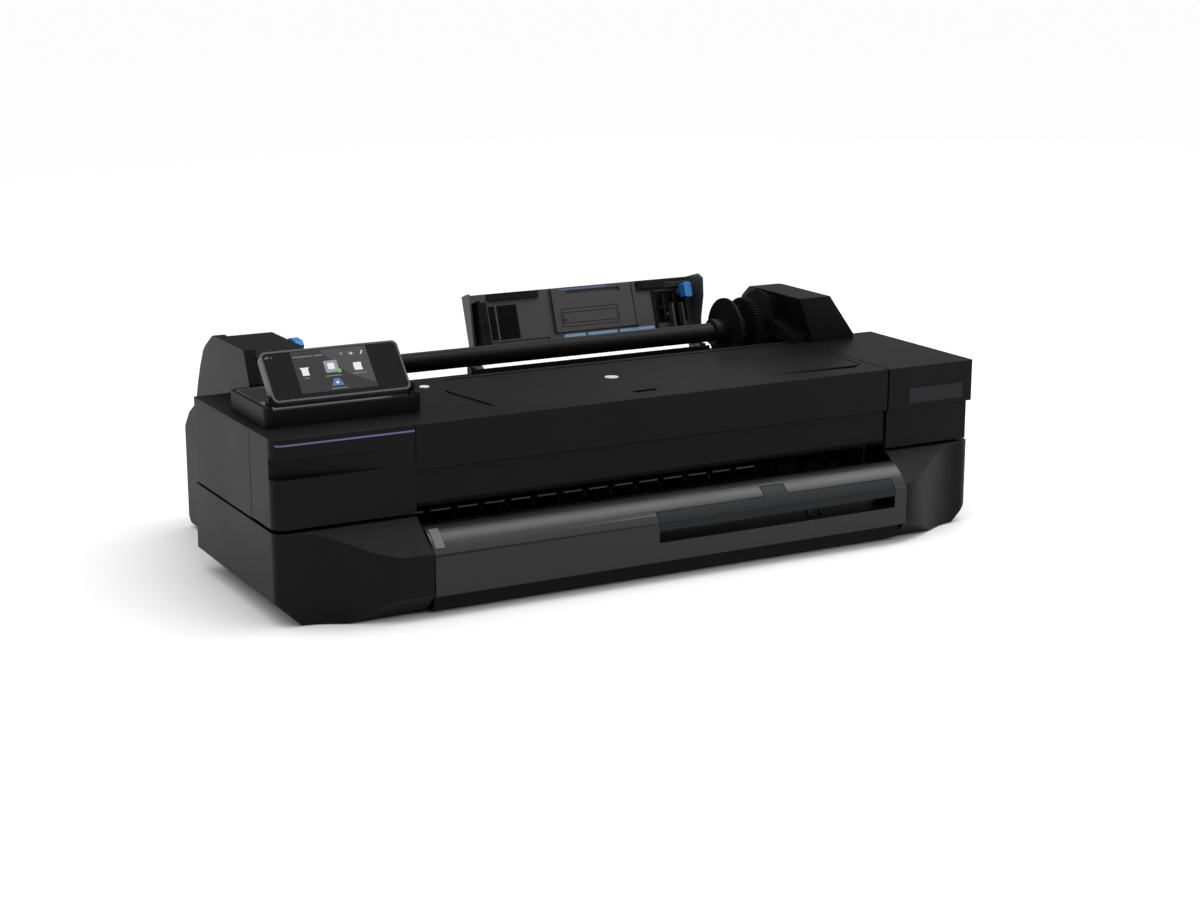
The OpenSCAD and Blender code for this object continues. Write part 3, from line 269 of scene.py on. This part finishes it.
# rear sheet tray: frames, pockets and slots drawn as flat near-black patches of painted shade, and blank
# stickers
tray_parts = [(sticker, rounded(x0, x1, 29.3, 37.2, 1, -0.25, -0.02))
              for x0, x1 in ((99, 133.5), (137, 184.5), (188.5, 246))]
tray_parts += [(recess_painted_shade, bar(x0, x1, -0.25, -0.02, z0, z1)) for x0, x1, z0, z1 in
               ((0, 31, 38, 86), (-13, -3, 38, 86), (253, 303, 40, 86))]
tray_parts += [(look["cover_black"], bar(*sizes)) for sizes in (
    (-12, 66, -4.5, -0.02, 93.5, 103.2), (226, 306, -4.5, -0.02, 89.5, 103.2),
    (231, 300, -6, -4.4, 91.5, 101),
    (-44, 52, -2, -0.02, 14, 17), (249, 252, -3, -0.02, 22, 88), (262, 264, -7, -0.2, 44, 82),
    (279, 281, -7, -0.2, 70, 84), (256, 268, -5, -0.2, 60, 63), (284, 288, -10, -0.2, 26, 62))]
tray_parts += [(recess_painted_shade, bar(x, x + 5, -0.6, -0.2, z, z + 3)) for x in (6, 14, 22) for z in (42, 54, 66, 78)]
tray_parts += [(look["zinc_steel"], disc(x, z, 1.6, -1.2, -0.2))
               for x, z in ((296, 96.2), (235, 96.2), (271, 52))]
piece("sheet_tray_fittings", "sheet_tray", TRAY, tray_parts)
RAISED = (-3.6, -3.22)      # relief on the extender's front
LINE = 0.8                  # width of a raised line
frame_bars = []
for x0, x1, z0, z1 in ((97, 190, 47, 73), (99.5, 187.5, 52, 68)):
    frame_bars += [bar(x0, x1, *RAISED, z1 - LINE, z1), bar(x0, x1, *RAISED, z0, z0 + LINE),
                   bar(x0, x0 + LINE, *RAISED, z0 + LINE, z1 - LINE),
                   bar(x1 - LINE, x1, *RAISED, z0 + LINE, z1 - LINE)]
piece("extender_marks", "tray_extender", TRAY,
      [(look["cover_black"], shape) for shape in frame_bars]
      + [(line_blue, rounded(99, 176, 99.2, 101.2, 0.9, *RAISED)),
         (look["cover_black"], rounded(99, 106, 56, 58, 0.8, *RAISED))], 0.1)

# output mouth: rail with pale guide marks and star wheels, in front of the platen
PITCH = 36
STARS, MARKS = 15, 14       # the marks stop short of the rail's right end
POINTS = 24                 # corners of a star wheel, tips and roots in turn
rail = [(look["inner_black"], bar(-318, 214, 45, 49.5, 99.8, 104.6))]
rail += [(look["inner_black"], bar(x, x + 6, 45.4, 48, 88, 104)) for x in (-317, -190, -56, 78, 204)]
for k in range(STARS):
    x = -316 + PITCH * k
    if k < MARKS:
        rail.append((look["white_nylon"], bar(x, x + 26, 44.3, 45.05, 102.2, 104.0)))
    radii = [3.4 if n % 2 else 2.5 for n in range(POINTS)]
    star = [(r * math.cos(n * math.tau / POINTS), r * math.sin(n * math.tau / POINTS))
            for n, r in enumerate(radii)]
    points = [(x + w, 46.9 + u, 96.6 + v) for w in (31.2, 31.6) for u, v in star]
    rim = [(n, (n + 1) % POINTS, POINTS + (n + 1) % POINTS, POINTS + n) for n in range(POINTS)]
    ends = [tuple(range(POINTS)), tuple(range(2 * POINTS - 1, POINTS - 1, -1))]
    rail.append((look["zinc_steel"], (points, ends + rim)))
piece("star_wheel_rail", "chassis", CHASSIS, rail, 0.2)

# carriage front: latch and ink marks
front = [(look["inner_black"], rounded(240, 288, 128, 146, 2, 38.6, 39.95)),
         (look["label_grey"], bar(246, 282, 37.8, 38.65, 132, 135)),
         (look["zinc_steel"], disc(250, 119, 3, 38.5, 39.95)),
         (look["label_grey"], rounded(258, 268, 113.5, 121, 1, 38.8, 39.95)),
         (look["liner_grey"], rounded(272, 284, 114, 118.5, 1, 38.8, 39.95))]
front += [(ink, rounded(241.5 + 12 * k, 250.5 + 12 * k, 137.5, 144, 0.8, 38.3, 38.62))
          for k, ink in enumerate(inks)]
piece("carriage_front", "carriage", CHASSIS, front, 0.2)

# ink bay: coloured marks on the cartridges' fronts
piece("cartridge_marks", "chassis", CHASSIS,
      [(ink, rounded(-466.5 + 34 * k, -447.5 + 34 * k, 172, 186, 2, 21.4, 21.98))
       for k, ink in enumerate(inks)]
      + [(look["label_grey"], rounded(-468 + 34 * k, -446 + 34 * k, 136, 162, 2, 21.6, 21.98))
         for k in range(len(inks))], 0.15)

# output tray: pale strip over the slope's end, a painted highlight where the tray's end catches light, and
# the two pins in the finger slot
CREASE, RIM = (-48.459, 77.415), (-16.034, 102.408)     # lower and upper end of the tray's top, y and z
SWELL = (-2.6, 3.5)                                     # how far the top bows out between them
STRIP_STEPS = 14


def slope(t, lift):
    """A point of the tray's swelling top between the crease and the rim, raised by lift."""
    middle = [(low + high) / 2 + out for low, high, out in zip(CREASE, RIM, SWELL)]
    y, z = ((1 - t) ** 2 * p + 2 * t * (1 - t) * q + t * t * r for p, q, r in zip(CREASE, middle, RIM))
    dy, dz = ((1 - t) * (q - p) + t * (r - q) for p, q, r in zip(CREASE, middle, RIM))
    size = math.hypot(dy, dz)
    return y - lift * dz / size, z + lift * dy / size


steps = [0.16 + 0.7 * k / STRIP_STEPS for k in range(STRIP_STEPS + 1)]
points = [(x, *slope(t, lift)) for lift in (0.25, 0.9) for t in steps
          for x in (-314.5 + 1.5 * t, -302.5 + 1.5 * t)]
count = 2 * len(steps)
faces = [(2 * k + side, 2 * k + 1 + side, 2 * k + 3 + side, 2 * k + 2 + side)
         for side in (0, count) for k in range(STRIP_STEPS)]
faces += [(k, k + 2, k + 2 + count, k + count) for k in range(count - 2)]
faces += [(0, 1, 1 + count, count), (count - 2, count - 1, 2 * count - 1, 2 * count - 2)]
# the pale strip over the black tray's end is a painted highlight
piece("tray_end_painted_highlight", "chassis", CHASSIS, [(look["liner_grey"], (points, faces))], 0.1)
piece("slot_pins", "chassis", CHASSIS,
      [(look["liner_grey"], disc(x, 52.9, 2.1, -27.5, -25.05)) for x in (217.6, 236.1)]
      + [(look["inner_black"], disc(x, 52.9, 1.0, -27.8, -27.4)) for x in (217.6, 236.1)], 0.2)

# back: blank rating plate and the sockets behind the connector panel
sockets = [(look["inner_black"], bar(-409.5, -398.5, 470, 473.8, 50.5, 61.5)),
           (look["liner_grey"], bar(-407, -401, 470.5, 475.2, 53, 59)),
           (look["inner_black"], bar(-385.5, -366.5, 470, 472.8, 50.5, 65.5)),
           (look["inner_black"], bar(-349.5, -334.5, 470, 472.8, 50.5, 63.5))]
sockets += [(gold, bar(-383 + 2 * k, -382 + 2 * k, 472.8, 475, 51, 53.5)) for k in range(8)]
sockets += [(gold, bar(-347 + 4 * k, -345.5 + 4 * k, 472.8, 475, 56, 57)) for k in range(3)]
piece("rear_sockets", "chassis", CHASSIS, sockets, 0.1)
piece("rating_plate", "chassis", CHASSIS,
      [(plate, rounded(-158, -62, 42, 86, 2.5, 479.22, 479.6)),
       (look["label_grey"], rounded(-154, -66, 74, 82, 1, 479.6, 479.75))]
      + [(look["label_grey"], bar(-152 + 30 * k, -130 + 30 * k, 479.6, 479.75, 50, 66)) for k in range(3)],
      0.1)

# ---------- CAD nodes: material, softened edges ----------
slots = {row["node"]: row["material_slot"] for row in frame["record"]["subparts"]}
EDGE = {"spindle_gear": 0, "roll_idler_gear": 0, "roll_pinion": 0, "feed_gear": 0, "feed_pinion": 0,
        "encoder_strip": 0, "ink_door_stripe": 0.2, "emblem_disc": 0.2, "label_plate": 0.3,
        "display_glass": 0.4, "power_button": 0.5, "connector_panel": 0.3, "case_screws": 0.2,
        "display_housing": 1.2, "output_tray": 1.0, "tray_extension": 0.6, "latch_lever": 1.2,
        "guide_lever": 1.2, "left_support": 2.0, "right_support": 2.0, "sheet_tray": 0.7,
        "front_panel": 1.0, "ink_door": 1.0, "top_deck": 0.7, "window_panel": 0.7,
        "right_end_cap": 1.4, "right_lower_cover": 1.2, "left_side_cover": 0.9,
        "left_lower_housing": 1.3, "right_lower_housing": 1.3, "display_bay": 1.2}
for name, part in nodes.items():
    part.data.materials.clear()
    # the sheet tray and its extender take the lighter black with the painted sheen
    part.data.materials.append(rear_tray_painted_sheen if name in ("sheet_tray", "tray_extender") else look[slots[name]])
    width = EDGE.get(name, 0.4)
    if width:
        weld = part.modifiers.new("weld", "WELD")
        weld.merge_threshold = 0.00002
        bevel = part.modifiers.new("edges", "BEVEL")
        bevel.width = width * MM
        bevel.segments = 3 if width >= 1 else 2
        bevel.limit_method = "ANGLE"
        bevel.angle_limit = math.radians(32)
        bevel.harden_normals = True

# ---------- stage ----------
floor_mesh = bpy.data.meshes.new("floor")
build = bmesh.new()
bmesh.ops.create_grid(build, x_segments=2, y_segments=2, size=60.0)
build.to_mesh(floor_mesh)
build.free()
floor = bpy.data.objects.new("floor", floor_mesh)
bpy.context.scene.collection.objects.link(floor)
floor_mesh.materials.append(surface("pale_floor", (0.95, 0.95, 0.95), 0.9, 0.0, 60, 0.02, 0.005))

scene = bpy.context.scene
scene.view_settings.view_transform = "Standard"
sky = bpy.data.worlds.new("studio")
scene.world = sky
sky.use_nodes = True
tree = sky.node_tree
direction = tree.nodes.new("ShaderNodeTexCoord")
split = tree.nodes.new("ShaderNodeSeparateXYZ")
tree.links.new(direction.outputs["Generated"], split.inputs[0])
rise = tree.nodes.new("ShaderNodeMapRange")
rise.interpolation_type = "SMOOTHSTEP"
rise.inputs["From Min"].default_value = 0.25
rise.inputs["From Max"].default_value = 0.9
rise.inputs["To Min"].default_value = 0.05
rise.inputs["To Max"].default_value = 1.56
tree.links.new(split.outputs["Z"], rise.inputs["Value"])
seen = tree.nodes.new("ShaderNodeLightPath")
strength = tree.nodes.new("ShaderNodeMix")
strength.inputs["B"].default_value = 1.05
tree.links.new(seen.outputs["Is Camera Ray"], strength.inputs["Factor"])
tree.links.new(rise.outputs["Result"], strength.inputs["A"])
backdrop = tree.nodes["Background"]
backdrop.inputs["Color"].default_value = (1, 1, 1, 1)
tree.links.new(strength.outputs["Result"], backdrop.inputs["Strength"])


def softbox(name, place, aim, size, power):
    """A soft lamp that lights the object and isn't seen itself."""
    lamp = bpy.data.lights.new(name, "AREA")
    lamp.shape = "RECTANGLE"
    lamp.size, lamp.size_y = size
    lamp.energy = power
    made = bpy.data.objects.new(name, lamp)
    scene.collection.objects.link(made)
    made.location = place
    made.rotation_mode = "QUATERNION"
    made.rotation_quaternion = (Vector(aim) - Vector(place)).to_track_quat("-Z", "Y")
    made.visible_camera = False


softbox("light_left", (-2.6, 1.9, 0.6), (-0.4, 0, 0.1), (2.4, 1.0), 14)
softbox("light_back", (3.3, 4.0, 1.5), (0.3, 0, 0.2), (1.8, 0.9), 2)
softbox("light_above", (0.7, -0.22, 1.7), (0.0, -0.24, 0.09), (0.4, 2.4), 11)
softbox("light_front", (2.6, -3.0, 1.7), (0.2, 0.2, 0.25), (1.6, 1.6), 18)

# ---------- camera ----------
camera = bpy.data.objects.new("camera", bpy.data.cameras.new("camera"))
scene.collection.objects.link(camera)
camera.data.sensor_width = 36
camera.data.lens = 66.09
camera.location = at(-1324.3, -2291.5, 795.9)
turn, dip = math.radians(28.638), math.radians(13.6165)
ahead = Vector((math.sin(turn) * math.cos(dip), math.cos(turn) * math.cos(dip), -math.sin(dip)))
camera.rotation_mode = "QUATERNION"
camera.rotation_quaternion = ahead.to_track_quat("-Z", "Y")
camera.data.clip_end = 200
scene.camera = camera
